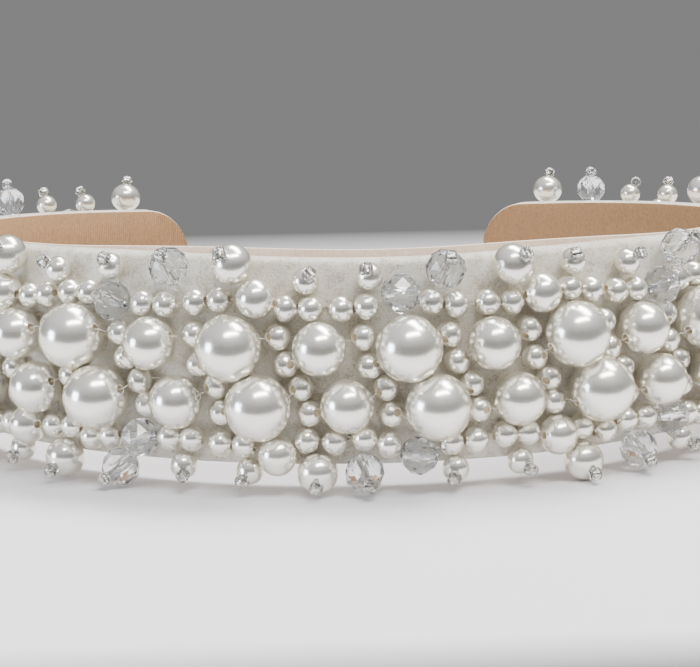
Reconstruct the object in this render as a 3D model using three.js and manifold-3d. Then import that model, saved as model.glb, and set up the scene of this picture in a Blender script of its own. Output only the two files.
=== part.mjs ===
// A beaded velvet headband, standing on its lower edge with the crown of the head towards -Y.
// A springy plastic strip is wrapped in velvet, lined with ribbon, and sewn all over with pearls,
// cut crystals and seed beads on nylon thread. Millimetres, +Z up, the origin on the surface that
// the band stands on, in the middle of its box.
import * as THREE from 'three';
import { mergeVertices } from 'three/addons/utils/BufferGeometryUtils.js';
import Module from 'manifold-3d';

const wasm = await Module();
wasm.setup();

// ---- The band's outline, seen from above: a crown arc and a tighter arc down each arm ----
const CROWN_RADIUS = 75;
const CROWN_HALF_ANGLE = THREE.MathUtils.degToRad(50);
const ARM_RADIUS = 65;
const TIP_ANGLE = THREE.MathUtils.degToRad(157.5);
const CROWN_LENGTH = CROWN_RADIUS * CROWN_HALF_ANGLE;
const TIP = CROWN_LENGTH + ARM_RADIUS * (TIP_ANGLE - CROWN_HALF_ANGLE);

// ---- The band's height, and its layers counted inwards from the velvet's face ----
const BAND_BOTTOM = 4;
const CROWN_TOP = 35.3;
const TIP_TOP = 29.3;
const CROWN_DIP = 1;
const CROWN_DIP_REACH = 45;
const TIP_CORNER = 9;
const TIP_CORNER_STEPS = [0.06, 0.2, 0.4, 0.7];
const VELVET = 0.8;
const CORE_FROM = 1.1;
const CORE_TO = 2.9;
const HEM_FROM = 3.2;
const HEM_TO = 3.9;
const HEM_WIDTH = 6;
const RIBBON_FROM = 4.2;
const RIBBON_TO = 4.8;
const RIBBON_OVER_TOP = 1.0;
const RIBBON_PROUD_TO = 15;
const RIBBON_LEVEL_BY = 60;
const RIBBON_OVER_BOTTOM = 0.2;
const LAYER_GAP = 0.3;
const EDGE_ROUND = 1;
const RING_STEP = 8.5;

// ---- Where the arms flex: a gap in each layer, and an axis at the height of the large pearls ----
const FLEX_AT = 58.8;
const FLEX_GAP = 0.9;

// ---- Beads: [width across the hole, length along the hole] ----
const BEADS = {
  pearl10: [10, 9.6],
  pearl8: [8, 7.6],
  pearl6: [6, 5.6],
  pearl4: [4, 3.6],
  crystal: [6, 5.4],
  seed: [2, 1.4],
};
const BEAD_FIT = 0.955;
const THREAD_RADIUS = 0.3;
const THREAD_SIDES = 3;
const THREAD_BEHIND_STACKS = 1.1;

// ---- The sewn pattern, in distance along the velvet and height above the surface ----
const COLUMN_PITCH = 12.13;
const FIRST_COLUMN = -14;
const LAST_COLUMN = 13;
const MIDDLE_COLUMN_AT = 3.44;
const PAIR_MIDDLE = 18.2;
const PAIR_HALF = { pearl10: 4.6, pearl8: 4.2 };
const PAIR_LEAN = 1.9;
const CHAIN_AT = 8.6;
const CHAIN_LEAN = 2.3;
const CHAIN_HALF = 5.6;
const SWAGS_EACH_WAY = 8;
const SWAG_BEADS = ['pearl4', 'pearl4', 'centre', 'pearl4', 'pearl4'];
const SWAG_FIRST_BEAD = 9.6;
const SWAG_WAVE = 0.6;
const UPPER_SWAGS = { middle: 2.3, pitch: 20.9, height: 28.6, wave: SWAG_WAVE, lean: 0 };
const LOWER_SWAGS = { middle: 5.2, pitch: 20.55, height: 7.6, wave: -SWAG_WAVE, lean: 3.8 };
const TOP_STACKS = { middle: 9.1, pitch: 9.77, first: -19, last: 17 };
const BOTTOM_STACKS = { middle: -9.2, pitch: 9.85, first: -17, last: 18 };
const TOP_STACK_KINDS = ['crystal', 'pearl6', 'pearl4', 'pearl4'];
const BOTTOM_STACK_KINDS = ['pearl6', 'crystal', 'pearl4', 'pearl4'];
const SHIFTED_STACK = 1;
const STACK_SHIFT = -3.2;
const TOP_STACK_BELOW_EDGE = 5.8;
const TOP_STACK_RISE = 0.75;
const STACK_STANDS_FROM = 70;
const STACK_STANDS_BY = 120;
const STANDING_LIFT = -0.8;
const STANDING_OUT = 0.3;
const BOTTOM_STACK_HEIGHT = 3.9;
const TOP_LEAN = [0.5, 0.8];
const STANDING_LEAN = [0.95, 0.3];
const BOTTOM_LEAN = [-0.35, 0.87];
const STACK_SWAY = 0.3;
const SWAY_TURN = 2.4;
const STAND_GAP = 0.05;
const SETTLE_ROUNDS = 160;

// ---- Materials ----
const paint = (color, roughness) => new THREE.MeshStandardMaterial({ color, roughness, metalness: 0 });
const velvetMaterial = paint(0xded9ce, 0.95);
const coreMaterial = paint(0xf0eee8, 0.5);
const ribbonMaterial = paint(0xc9a58d, 0.7);
const pearlMaterial = paint(0xf3eee2, 0.2);
const crystalMaterial = paint(0xe9eef2, 0.05);

// ---- Places on the band ----

// The outline's direction angle at a distance along the velvet from the middle of the crown.
function angleAt(along) {
  const reach = Math.abs(along);
  if (reach <= CROWN_LENGTH) return along / CROWN_RADIUS;
  return Math.sign(along) * (CROWN_HALF_ANGLE + (reach - CROWN_LENGTH) / ARM_RADIUS);
}

// A point at a distance along the velvet, a height, and a distance out from the velvet's face.
function onBand(along, height, out) {
  const angle = angleAt(along);
  const onArm = Math.abs(along) > CROWN_LENGTH;
  const radius = (onArm ? ARM_RADIUS : CROWN_RADIUS) + out;
  const step = onArm ? CROWN_RADIUS - ARM_RADIUS : 0;
  const stepX = step * Math.sin(Math.sign(along) * CROWN_HALF_ANGLE);
  const stepY = -step * Math.cos(CROWN_HALF_ANGLE);
  return new THREE.Vector3(
    stepX + radius * Math.sin(angle),
    stepY - radius * Math.cos(angle),
    height,
  );
}

const outwards = (along) => new THREE.Vector3(Math.sin(angleAt(along)), -Math.cos(angleAt(along)), 0);
const forwards = (along) => new THREE.Vector3(Math.cos(angleAt(along)), Math.sin(angleAt(along)), 0);

// 1 at the middle of the crown, easing to 0 on either side of it.
function crownShare(along) {
  const reach = Math.min(1, Math.abs(along) / CROWN_DIP_REACH);
  return Math.cos((reach * Math.PI) / 2) ** 2;
}

// The velvet's upper edge: it comes down towards the tips, and dips a little at the crown's middle.
function topAt(along) {
  return CROWN_TOP - (CROWN_TOP - TIP_TOP) * (along / TIP) ** 2 - CROWN_DIP * crownShare(along);
}

// How far the ribbon stands over the velvet's upper edge, which is along the crown only.
function ribbonOverTop(along) {
  const level = THREE.MathUtils.smoothstep(Math.abs(along), RIBBON_PROUD_TO, RIBBON_LEVEL_BY);
  return RIBBON_OVER_TOP * (1 - level);
}

// A height on the full crown section, brought down in proportion where the arm narrows.
function tapered(height, along) {
  return BAND_BOTTOM + ((height - BAND_BOTTOM) * (topAt(along) - BAND_BOTTOM)) / (CROWN_TOP - BAND_BOTTOM);
}

// How far the tip's round corner cuts into the band's height at this place.
function cornerCut(along) {
  const inside = TIP_CORNER - Math.max(0, TIP - Math.abs(along));
  return inside <= 0 ? 0 : TIP_CORNER - Math.sqrt(Math.max(0, TIP_CORNER ** 2 - inside ** 2));
}

// ---- Solids ----

const circle = (sides, radius) => Array.from({ length: sides }, (_, i) =>
  new THREE.Vector2(radius, 0).rotateAround(new THREE.Vector2(), (2 * Math.PI * i) / sides));

// A closed mesh from rings of points that follow each other, with a flat cap on each end.
function loft(rings, capOutline) {
  const sides = rings[0].length;
  const positions = rings.flat().flatMap((point) => [point.x, point.y, point.z]);
  const faces = [];
  for (let ring = 0; ring + 1 < rings.length; ring++) {
    for (let side = 0; side < sides; side++) {
      const a = ring * sides + side;
      const b = ring * sides + ((side + 1) % sides);
      faces.push(a, b, b + sides, a, b + sides, a + sides);
    }
  }
  const last = (rings.length - 1) * sides;
  const turned = THREE.ShapeUtils.area(capOutline) < 0;
  for (const [a, b, c] of THREE.ShapeUtils.triangulateShape(capOutline, [])) {
    const [p, q] = turned ? [c, b] : [b, c];
    faces.push(a, q, p, last + a, last + p, last + q);
  }
  const geometry = new THREE.BufferGeometry();
  geometry.setAttribute('position', new THREE.Float32BufferAttribute(positions, 3));
  geometry.setIndex(faces);
  geometry.computeVertexNormals();
  return geometry;
}

function asSolid(geometry) {
  const bare = geometry.clone();
  bare.deleteAttribute('normal');
  bare.deleteAttribute('uv');
  const merged = mergeVertices(bare, 1e-4);
  return new wasm.Manifold(new wasm.Mesh({
    numProp: 3,
    vertProperties: new Float32Array(merged.attributes.position.array),
    triVerts: new Uint32Array(merged.index.array),
  }));
}

function joined(geometries) {
  const mesh = geometries.map(asSolid).reduce((sum, solid) => sum.add(solid)).getMesh();
  const geometry = new THREE.BufferGeometry();
  geometry.setAttribute('position', new THREE.Float32BufferAttribute(mesh.vertProperties, 3));
  geometry.setIndex(Array.from(mesh.triVerts));
  geometry.computeVertexNormals();
  return geometry;
}

// A strip of the band between two places; section(along) gives its [height, depth] outline there.
// An odd number of steps leaves one flat facet square to the front at the middle of the crown.
function strip(from, to, section) {
  const steps = 1 + 2 * Math.ceil((to - from) / RING_STEP / 2);
  const places = Array.from({ length: steps + 1 }, (_, i) => from + ((to - from) * i) / steps);
  const corners = TIP_CORNER_STEPS.map((share) => TIP - TIP_CORNER * share).flatMap((c) => [c, -c]);
  places.push(...corners.filter((c) => c > from + LAYER_GAP && c < to - LAYER_GAP));
  places.sort((a, b) => a - b);
  const rings = places.map((along) =>
    section(along).map(([height, depth]) => onBand(along, height, -depth)));
  const outline = section(places[0]).map(([height, depth]) => new THREE.Vector2(height, depth));
  return loft(rings, outline);
}

// A flat layer's outline: heights inset from the band's edges, between two depths.
const layer = (low, high, near, far) => (along) => {
  const bottom = BAND_BOTTOM + cornerCut(along) + low;
  const top = topAt(along) - cornerCut(along) - high;
  return [[bottom, near], [bottom, far], [top, far], [top, near]];
};

// The velvet: a flat face, round edges, and a hem turned in behind the plastic strip.
function velvetSection(along) {
  const bottom = BAND_BOTTOM + cornerCut(along);
  const top = topAt(along) - cornerCut(along);
  const hem = Math.min(HEM_WIDTH, (top - bottom) / 4);
  return [
    [bottom + EDGE_ROUND, 0], [bottom, EDGE_ROUND], [bottom, HEM_TO - EDGE_ROUND],
    [bottom + EDGE_ROUND, HEM_TO], [bottom + hem, HEM_TO], [bottom + hem, HEM_FROM],
    [bottom + VELVET, HEM_FROM], [bottom + VELVET, VELVET], [top - VELVET, VELVET],
    [top - VELVET, HEM_FROM], [top - hem, HEM_FROM], [top - hem, HEM_TO],
    [top - EDGE_ROUND, HEM_TO], [top, HEM_TO - EDGE_ROUND], [top, EDGE_ROUND],
    [top - EDGE_ROUND, 0],
  ];
}

function velvetGeometry(from, to) {
  const pieces = [strip(from, to, velvetSection)];
  const endWall = layer(0.05, 0.05, 0.05, HEM_TO - 0.05);
  if (to === TIP) pieces.push(strip(TIP - VELVET, TIP, endWall));
  if (from === -TIP) pieces.push(strip(-TIP, VELVET - TIP, endWall));
  return pieces.length > 1 ? joined(pieces) : pieces[0];
}

// Pulls an end back from the tip, and leaves an end at a flex gap where it is.
function pulledBack(from, to, distance) {
  return [from === -TIP ? from + distance : from, to === TIP ? to - distance : to];
}

function coreGeometry(from, to) {
  return strip(...pulledBack(from, to, VELVET + LAYER_GAP), layer(CORE_FROM, CORE_FROM, CORE_FROM, CORE_TO));
}

function ribbonGeometry(from, to) {
  const section = (along) =>
    layer(-RIBBON_OVER_BOTTOM, -ribbonOverTop(along), RIBBON_FROM, RIBBON_TO)(along);
  return strip(...pulledBack(from, to, LAYER_GAP), section);
}

// The ribbon's end, turned under itself between the velvet's two hems.
function ribbonFoldGeometry(side) {
  const inset = HEM_WIDTH + LAYER_GAP;
  const near = side * (TIP - 22);
  const far = side * (TIP - 10);
  return strip(Math.min(near, far), Math.max(near, far), layer(inset, inset, HEM_FROM, HEM_TO));
}

// ---- Beads ----

function bead(kind, along, height, strand) {
  const [width, length] = BEADS[kind];
  return { kind, along, height, out: width / 2, radius: width / 2, length, strand };
}

// The pairs of large pearls: 10 mm and 8 mm by turns, each pair leaning the same way.
function pairBeads(column) {
  const kind = column % 2 === 0 ? 'pearl10' : 'pearl8';
  const middle = MIDDLE_COLUMN_AT + PAIR_LEAN + column * COLUMN_PITCH;
  return [1, -1].map((side) => bead(
    kind,
    middle - side * PAIR_LEAN,
    tapered(PAIR_MIDDLE, middle) + side * PAIR_HALF[kind],
    `pair${column}`,
  ));
}

// The chain of four small pearls to the right of a column's pair.
function chainBeads(column) {
  const middle = MIDDLE_COLUMN_AT + CHAIN_AT + column * COLUMN_PITCH;
  return [1, 1 / 3, -1 / 3, -1].map((step) => bead(
    'pearl4',
    middle - step * CHAIN_LEAN,
    tapered(PAIR_MIDDLE, middle) + step * CHAIN_HALF,
    `chain${column}`,
  ));
}

// A row of swags: two small pearls, a larger pearl or a crystal, and two small pearls.
// The row rises and falls in a wave, as the pearls of the columns leave it room.
function swagBeads(row, { middle, pitch, height, wave, lean }) {
  const beads = [];
  for (let swag = -SWAGS_EACH_WAY; swag <= SWAGS_EACH_WAY; swag++) {
    const centre = swag % 2 === 0 ? 'crystal' : 'pearl6';
    let reach = middle + swag * pitch - SWAG_FIRST_BEAD;
    for (const name of SWAG_BEADS) {
      const kind = name === 'centre' ? centre : name;
      const length = BEADS[kind][1];
      const along = reach + length / 2;
      const turn = (Math.PI * (along - MIDDLE_COLUMN_AT - lean)) / COLUMN_PITCH;
      reach += length;
      beads.push(bead(kind, along, tapered(height + wave * Math.cos(turn), along), row));
    }
  }
  return beads;
}

const between = (low, high, share) => low + (high - low) * share;

// A stack is a bead held down by a seed bead. Its axis leans out past the band's edge; on the arms
// the bead has rolled up over the edge, and stands on it.
function topStack(kind, along, sway) {
  const [width] = BEADS[kind];
  const radius = width / 2;
  const standing = THREE.MathUtils.smoothstep(Math.abs(along), STACK_STANDS_FROM, STACK_STANDS_BY);
  const leaningRise = TOP_STACK_RISE * width - TOP_STACK_BELOW_EDGE;
  const rise = between(leaningRise, radius + STANDING_LIFT, standing);
  const rolled = Math.sqrt(Math.max(0, radius ** 2 - Math.max(0, rise) ** 2));
  return {
    ...bead(kind, along, topAt(along) + rise, 'top_stacks'),
    out: rolled + STANDING_OUT * standing,
    axis: [sway, ...TOP_LEAN.map((lean, i) => between(lean, STANDING_LEAN[i], standing))],
  };
}

function bottomStack(kind, along, sway) {
  const height = Math.max(BOTTOM_STACK_HEIGHT, BEADS[kind][0] / 2 + STAND_GAP);
  return { ...bead(kind, along, height, 'bottom_stacks'), axis: [sway, ...BOTTOM_LEAN] };
}

function stackBeads({ middle, pitch, first, last }, kinds, makeStack) {
  return Array.from({ length: last - first + 1 }, (_, i) => {
    const stack = first + i;
    const kind = kinds[THREE.MathUtils.euclideanModulo(stack, kinds.length)];
    return makeStack(kind, middle + stack * pitch, STACK_SWAY * Math.sin(stack * SWAY_TURN));
  });
}

// Pushes overlapping beads apart, along the velvet and up or down it, until all only touch.
function settle(beads) {
  for (let round = 0; round < SETTLE_ROUNDS; round++) {
    for (let i = 0; i < beads.length; i++) {
      for (let j = i + 1; j < beads.length; j++) {
        pushApart(beads[i], beads[j]);
      }
    }
  }
}

function pushApart(a, b) {
  const stretch = 1 + (a.out + b.out) / 2 / ARM_RADIUS;
  const along = (b.along - a.along) * stretch;
  if (Math.abs(along) > 11) return;
  const height = b.height - a.height;
  const out = b.out - a.out;
  const apart = Math.hypot(along, height, out);
  const sameStrand = a.strand === b.strand;
  const wanted = sameStrand ? (a.length + b.length) / 2 : a.radius + b.radius + STAND_GAP;
  const flat = Math.hypot(along, height);
  if (apart >= wanted || flat < 1e-6) return;
  const push = (Math.sqrt(Math.max(0, wanted ** 2 - out ** 2)) - flat) / flat;
  const share = b.radius ** 2 / (a.radius ** 2 + b.radius ** 2);
  a.along -= (push * share * along) / stretch;
  b.along += (push * (1 - share) * along) / stretch;
  a.height = Math.max(a.height - push * share * height, a.radius + STAND_GAP);
  b.height = Math.max(b.height + push * (1 - share) * height, b.radius + STAND_GAP);
}

const centreOf = (b) => onBand(b.along, b.height, b.out);
const bandsOf = (b) => (b.radius > 3 ? 4 : b.radius > 2 ? 3 : 2);

// The direction of a bead's hole.
function holeAxis(b) {
  if (!b.axis) return null;
  return forwards(b.along).multiplyScalar(b.axis[0])
    .addScaledVector(new THREE.Vector3(0, 0, 1), b.axis[1])
    .addScaledVector(outwards(b.along), b.axis[2])
    .normalize();
}

// One ring of a strand's skin: a regular polygon square to the strand.
function polygon(centre, axis, reference, radius, sides) {
  const across = reference.clone().addScaledVector(axis, -reference.dot(axis)).normalize();
  const beside = new THREE.Vector3().crossVectors(axis, across);
  return Array.from({ length: sides }, (_, i) => {
    const turn = (2 * Math.PI * i) / sides;
    return centre.clone()
      .addScaledVector(across, radius * Math.cos(turn))
      .addScaledVector(beside, radius * Math.sin(turn));
  });
}

// Beads threaded in a line, as one closed skin that narrows to the thread between them.
// Each station is { centre, axis, reference, radius, half, bands }.
function strandGeometry(stations, sides) {
  const rings = [];
  stations.forEach((station, index) => {
    const { centre, axis, reference, half, bands } = station;
    const radius = station.radius * BEAD_FIT;
    const before = stations[index - 1];
    const start = centre.clone().addScaledVector(axis, before ? -half : -half * BEAD_FIT);
    if (before) start.add(before.centre.clone().addScaledVector(before.axis, before.half)).multiplyScalar(0.5);
    rings.push(polygon(start, axis, reference, THREAD_RADIUS, sides));
    for (let band = 1; band < bands; band++) {
      const slice = -Math.cos((Math.PI * band) / bands);
      const shift = slice * half * BEAD_FIT;
      const girth = radius * Math.sqrt(1 - slice ** 2);
      rings.push(polygon(centre.clone().addScaledVector(axis, shift), axis, reference, girth, sides));
    }
    if (index === stations.length - 1) {
      const end = centre.clone().addScaledVector(axis, half * BEAD_FIT);
      rings.push(polygon(end, axis, reference, THREAD_RADIUS, sides));
    }
  });
  return loft(rings, circle(sides, 1));
}

// Stations for beads whose holes follow the line from one bead to the next.
function stationsAlong(beads, bands) {
  return beads.map((b, i) => {
    const from = centreOf(beads[Math.max(0, i - 1)]);
    const to = centreOf(beads[Math.min(beads.length - 1, i + 1)]);
    return {
      centre: centreOf(b),
      axis: to.sub(from).normalize(),
      reference: outwards(b.along),
      radius: b.radius,
      half: b.length / 2,
      bands: bands(b),
    };
  });
}

// A stretch of bare thread between two points.
function threadGeometry(points) {
  const path = new THREE.CatmullRomCurve3(points);
  const section = new THREE.Shape(circle(THREAD_SIDES, THREAD_RADIUS));
  return new THREE.ExtrudeGeometry(section, { extrudePath: path, steps: points.length - 1 });
}

function clusterGeometry(pair, chains) {
  const pearls = strandGeometry(stationsAlong(pair, bandsOf), 7);
  const pieces = [pearls];
  for (const chain of chains) {
    const right = chain[0].along > pair[0].along;
    const ends = right ? [pair[0], chain[0]] : [chain[3], pair[1]];
    pieces.push(strandGeometry(stationsAlong(chain, bandsOf), 5));
    pieces.push(threadGeometry(ends.map(centreOf)));
  }
  return joined(pieces);
}

function swagGeometry(beads) {
  return strandGeometry(stationsAlong(beads, bandsOf), 5);
}

// Stacks on a common thread that runs along the band's edge behind their beads.
function stacksGeometry(beads) {
  const strands = beads.map((b) => {
    const axis = holeAxis(b);
    const reference = forwards(b.along);
    const [seedWidth, seedLength] = BEADS.seed;
    const seedCentre = centreOf(b).addScaledVector(axis, (b.length + seedLength) / 2);
    return strandGeometry([
      { centre: centreOf(b), axis, reference, radius: b.radius, half: b.length / 2, bands: bandsOf(b) },
      { centre: seedCentre, axis, reference, radius: seedWidth / 2, half: seedLength / 2, bands: 2 },
    ], 5);
  });
  const route = beads.map((b) => onBand(b.along, b.height, THREAD_BEHIND_STACKS));
  return joined([...strands, threadGeometry(route)]);
}

// ---- The object ----

const headband = new THREE.Group();

function add(name, geometry, material) {
  const mesh = new THREE.Mesh(geometry, material);
  mesh.name = name;
  headband.add(mesh);
}

const flexLow = FLEX_AT - FLEX_GAP / 2;
const flexHigh = FLEX_AT + FLEX_GAP / 2;
const STRETCHES = { left: [-TIP, -flexHigh], crown: [-flexLow, flexLow], right: [flexHigh, TIP] };

for (const [part, [from, to]] of Object.entries(STRETCHES)) {
  add(`core_strip_${part}`, coreGeometry(from, to), coreMaterial);
  add(`velvet_cover_${part}`, velvetGeometry(from, to), velvetMaterial);
  add(`ribbon_lining_${part}`, ribbonGeometry(from, to), ribbonMaterial);
}
add('ribbon_fold_left', ribbonFoldGeometry(-1), ribbonMaterial);
add('ribbon_fold_right', ribbonFoldGeometry(1), ribbonMaterial);

const columns = Array.from({ length: LAST_COLUMN - FIRST_COLUMN + 1 }, (_, i) => FIRST_COLUMN + i);
const pairs = columns.map(pairBeads);
const chains = [FIRST_COLUMN - 1, ...columns].map(chainBeads);
const rows = {
  upper_swags: swagBeads('upper_swags', UPPER_SWAGS),
  lower_swags: swagBeads('lower_swags', LOWER_SWAGS),
  top_stacks: stackBeads(TOP_STACKS, TOP_STACK_KINDS, topStack),
  bottom_stacks: stackBeads(BOTTOM_STACKS, BOTTOM_STACK_KINDS, bottomStack),
};
rows.bottom_stacks[SHIFTED_STACK - BOTTOM_STACKS.first].along += STACK_SHIFT;
settle([...pairs.flat(), ...chains.flat(), ...Object.values(rows).flat()]);

// A pair takes the chain on the side towards the crown's middle, and the end pairs both chains.
columns.forEach((column, i) => {
  const mine = [];
  if (column > 0 || column === FIRST_COLUMN) mine.push(chains[i]);
  if (column < 0 || column === LAST_COLUMN) mine.push(chains[i + 1]);
  add(`pearl_cluster_${String(i + 1).padStart(2, '0')}`, clusterGeometry(pairs[i], mine), pearlMaterial);
});

const ARM_MIDDLE = (FLEX_AT + TIP) / 2;
const GROUPS = {
  left_rear: [-TIP, -ARM_MIDDLE],
  left_front: [-ARM_MIDDLE, -FLEX_AT],
  crown: [-FLEX_AT, FLEX_AT],
  right_front: [FLEX_AT, ARM_MIDDLE],
  right_rear: [ARM_MIDDLE, TIP],
};
for (const [row, beads] of Object.entries(rows)) {
  const build = row.endsWith('swags') ? swagGeometry : stacksGeometry;
  const material = row.endsWith('swags') ? pearlMaterial : crystalMaterial;
  for (const [group, [from, to]] of Object.entries(GROUPS)) {
    const mine = beads.filter((b) => b.along >= from && b.along < to);
    add(`${row}_${group}`, build(mine), material);
  }
}

// The origin goes to the middle of the underside of the whole object's box.
const box = new THREE.Box3().setFromObject(headband);
const middle = box.getCenter(new THREE.Vector3());
headband.position.set(-middle.x, -middle.y, -box.min.z);

export default headband;
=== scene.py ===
"""A beaded velvet headband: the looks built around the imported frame, in metres, +Z up."""

import math

import bpy
import numpy as np
from mathutils import Matrix, Vector


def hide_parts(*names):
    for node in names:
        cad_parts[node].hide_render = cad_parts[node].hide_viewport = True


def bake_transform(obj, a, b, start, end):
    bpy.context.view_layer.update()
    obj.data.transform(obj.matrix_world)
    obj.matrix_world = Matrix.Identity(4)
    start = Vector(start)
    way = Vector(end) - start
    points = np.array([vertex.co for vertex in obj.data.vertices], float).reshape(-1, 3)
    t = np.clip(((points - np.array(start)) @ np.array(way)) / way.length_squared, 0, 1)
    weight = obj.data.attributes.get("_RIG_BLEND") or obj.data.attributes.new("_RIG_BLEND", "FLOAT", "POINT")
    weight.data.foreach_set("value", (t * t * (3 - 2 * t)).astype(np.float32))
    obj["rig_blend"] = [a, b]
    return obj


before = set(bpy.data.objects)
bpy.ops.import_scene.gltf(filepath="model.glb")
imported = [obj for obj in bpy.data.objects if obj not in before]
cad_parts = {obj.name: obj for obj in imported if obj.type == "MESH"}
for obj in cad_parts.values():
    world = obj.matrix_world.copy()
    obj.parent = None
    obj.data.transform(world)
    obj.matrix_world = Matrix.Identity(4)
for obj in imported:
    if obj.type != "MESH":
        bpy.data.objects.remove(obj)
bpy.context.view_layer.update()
MM = 0.001

# ---- The band's outline and layers, in millimetres, as the CAD has them ----
CROWN_RADIUS = 75
CROWN_HALF_ANGLE = math.radians(50)
ARM_RADIUS = 65
TIP_ANGLE = math.radians(157.5)
CROWN_LENGTH = CROWN_RADIUS * CROWN_HALF_ANGLE
TIP = CROWN_LENGTH + ARM_RADIUS * (TIP_ANGLE - CROWN_HALF_ANGLE)
BAND_BOTTOM = 4
CROWN_TOP = 35.3
TIP_TOP = 29.3
CROWN_DIP = 1
CROWN_DIP_REACH = 45
TIP_CORNER = 9
VELVET = 0.8
CORE_FROM = 1.1
CORE_TO = 2.9
HEM_FROM = 3.2
HEM_TO = 3.9
HEM_WIDTH = 6
RIBBON_FROM = 4.2
RIBBON_TO = 4.8
RIBBON_OVER_TOP = 1.0
RIBBON_PROUD_TO = 15
RIBBON_LEVEL_BY = 60
RIBBON_OVER_BOTTOM = 0.2
LAYER_GAP = 0.3
FLEX_AT = 58.8
FLEX_REACH = 38

# ---- Beads: width across the hole, length along it, radius of the hole, in millimetres ----
BEADS = {
    "pearl10": (9.85, 9.6, 0.65),
    "pearl8": (8, 7.7, 0.62),
    "pearl6": (6, 5.6, 0.6),
    "pearl4": (4, 3.6, 0.58),
    "crystal": (6, 5.4, 0.55),
    "seed": (2, 1.5, 0.42),
}
THREAD_RADIUS = 0.13

# ---- The sewn pattern, as the CAD has it: the room each bead takes, and where it goes ----
ROOM = {
    "pearl10": (10, 9.6),
    "pearl8": (8, 7.6),
    "pearl6": (6, 5.6),
    "pearl4": (4, 3.6),
    "crystal": (6, 5.4),
}
COLUMN_PITCH = 12.13
FIRST_COLUMN = -14
LAST_COLUMN = 13
MIDDLE_COLUMN_AT = 3.44
PAIR_MIDDLE = 18.2
PAIR_HALF = {"pearl10": 4.6, "pearl8": 4.2}
PAIR_LEAN = 1.9
CHAIN_AT = 8.6
CHAIN_LEAN = 2.3
CHAIN_HALF = 5.6
SWAGS_EACH_WAY = 8
SWAG_FIRST_BEAD = 9.6
SWAG_WAVE = 0.6
UPPER_SWAGS = {"middle": 2.3, "pitch": 20.9, "height": 28.6, "wave": SWAG_WAVE, "lean": 0}
LOWER_SWAGS = {"middle": 5.2, "pitch": 20.55, "height": 7.6, "wave": -SWAG_WAVE, "lean": 3.8}
TOP_STACKS = {"middle": 9.1, "pitch": 9.77, "first": -19, "last": 17}
BOTTOM_STACKS = {"middle": -9.2, "pitch": 9.85, "first": -17, "last": 18}
TOP_STACK_KINDS = ["crystal", "pearl6", "pearl4", "pearl4"]
BOTTOM_STACK_KINDS = ["pearl6", "crystal", "pearl4", "pearl4"]
SHIFTED_STACK = 1  # one bottom stack is sewn nearer to its neighbour
STACK_SHIFT = -3.2
TOP_STACK_BELOW_EDGE = 5.8
TOP_STACK_RISE = 0.75
STACK_STANDS_FROM = 70
STACK_STANDS_BY = 120
STANDING_LIFT = -0.8
STANDING_OUT = 0.3
BOTTOM_STACK_HEIGHT = 3.9
TOP_LEAN = (0.5, 0.8)
STANDING_LEAN = (0.95, 0.3)
BOTTOM_LEAN = (-0.35, 0.87)
STACK_SWAY = 0.3
SWAY_TURN = 2.4
STAND_GAP = 0.05
SETTLE_ROUNDS = 160
SETTLE_REACH = 11


def core_origin():
    """Where the crown arc's centre is in the frame: worked out from the crown's own plastic strip."""
    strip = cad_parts["core_strip_crown"]
    points = [strip.matrix_world @ v.co for v in strip.data.vertices]
    middle = (min(v.x for v in points) + max(v.x for v in points)) / 2
    front = min(points, key=lambda v: v.y)
    radius = (CROWN_RADIUS - CORE_FROM) * MM
    centre_y = front.y + math.sqrt(radius ** 2 - (front.x - middle) ** 2)
    return Vector((middle, centre_y, min(v.z for v in points) - (BAND_BOTTOM + CORE_FROM) * MM))


ORIGIN = core_origin()


# ---- Places on the band ----

def angle_at(along):
    reach = abs(along)
    if reach <= CROWN_LENGTH:
        return along / CROWN_RADIUS
    return math.copysign(CROWN_HALF_ANGLE + (reach - CROWN_LENGTH) / ARM_RADIUS, along)


def on_band(along, height, out):
    """The point in the frame at a distance along the velvet, a height, and a distance out from it."""
    angle = angle_at(along)
    on_arm = abs(along) > CROWN_LENGTH
    radius = (ARM_RADIUS if on_arm else CROWN_RADIUS) + out
    step = CROWN_RADIUS - ARM_RADIUS if on_arm else 0
    x = step * math.sin(math.copysign(CROWN_HALF_ANGLE, along)) + radius * math.sin(angle)
    y = -step * math.cos(CROWN_HALF_ANGLE) - radius * math.cos(angle)
    return ORIGIN + Vector((x, y, height)) * MM


def outwards(along):
    return Vector((math.sin(angle_at(along)), -math.cos(angle_at(along)), 0))


def forwards(along):
    return Vector((math.cos(angle_at(along)), math.sin(angle_at(along)), 0))


def crown_share(along):
    """1 at the middle of the crown, easing to 0 on either side of it."""
    return math.cos(min(1, abs(along) / CROWN_DIP_REACH) * math.pi / 2) ** 2


def top_at(along):
    return CROWN_TOP - (CROWN_TOP - TIP_TOP) * (along / TIP) ** 2 - CROWN_DIP * crown_share(along)


def tapered(height, along):
    """A height on the crown, brought down as the band narrows towards its tips."""
    return BAND_BOTTOM + (height - BAND_BOTTOM) * (top_at(along) - BAND_BOTTOM) / (CROWN_TOP - BAND_BOTTOM)


def corner_cut(along):
    """How far the tip's rounded corners cut in from the band's upper and lower edges."""
    inside = TIP_CORNER - max(0, TIP - abs(along))
    if inside <= 0:
        return 0
    return TIP_CORNER - math.sqrt(max(0, TIP_CORNER ** 2 - inside ** 2))


def smooth_step(low, high, value):
    t = min(1, max(0, (value - low) / (high - low)))
    return t * t * (3 - 2 * t)


# ---- Where each bead is sewn ----

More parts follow.
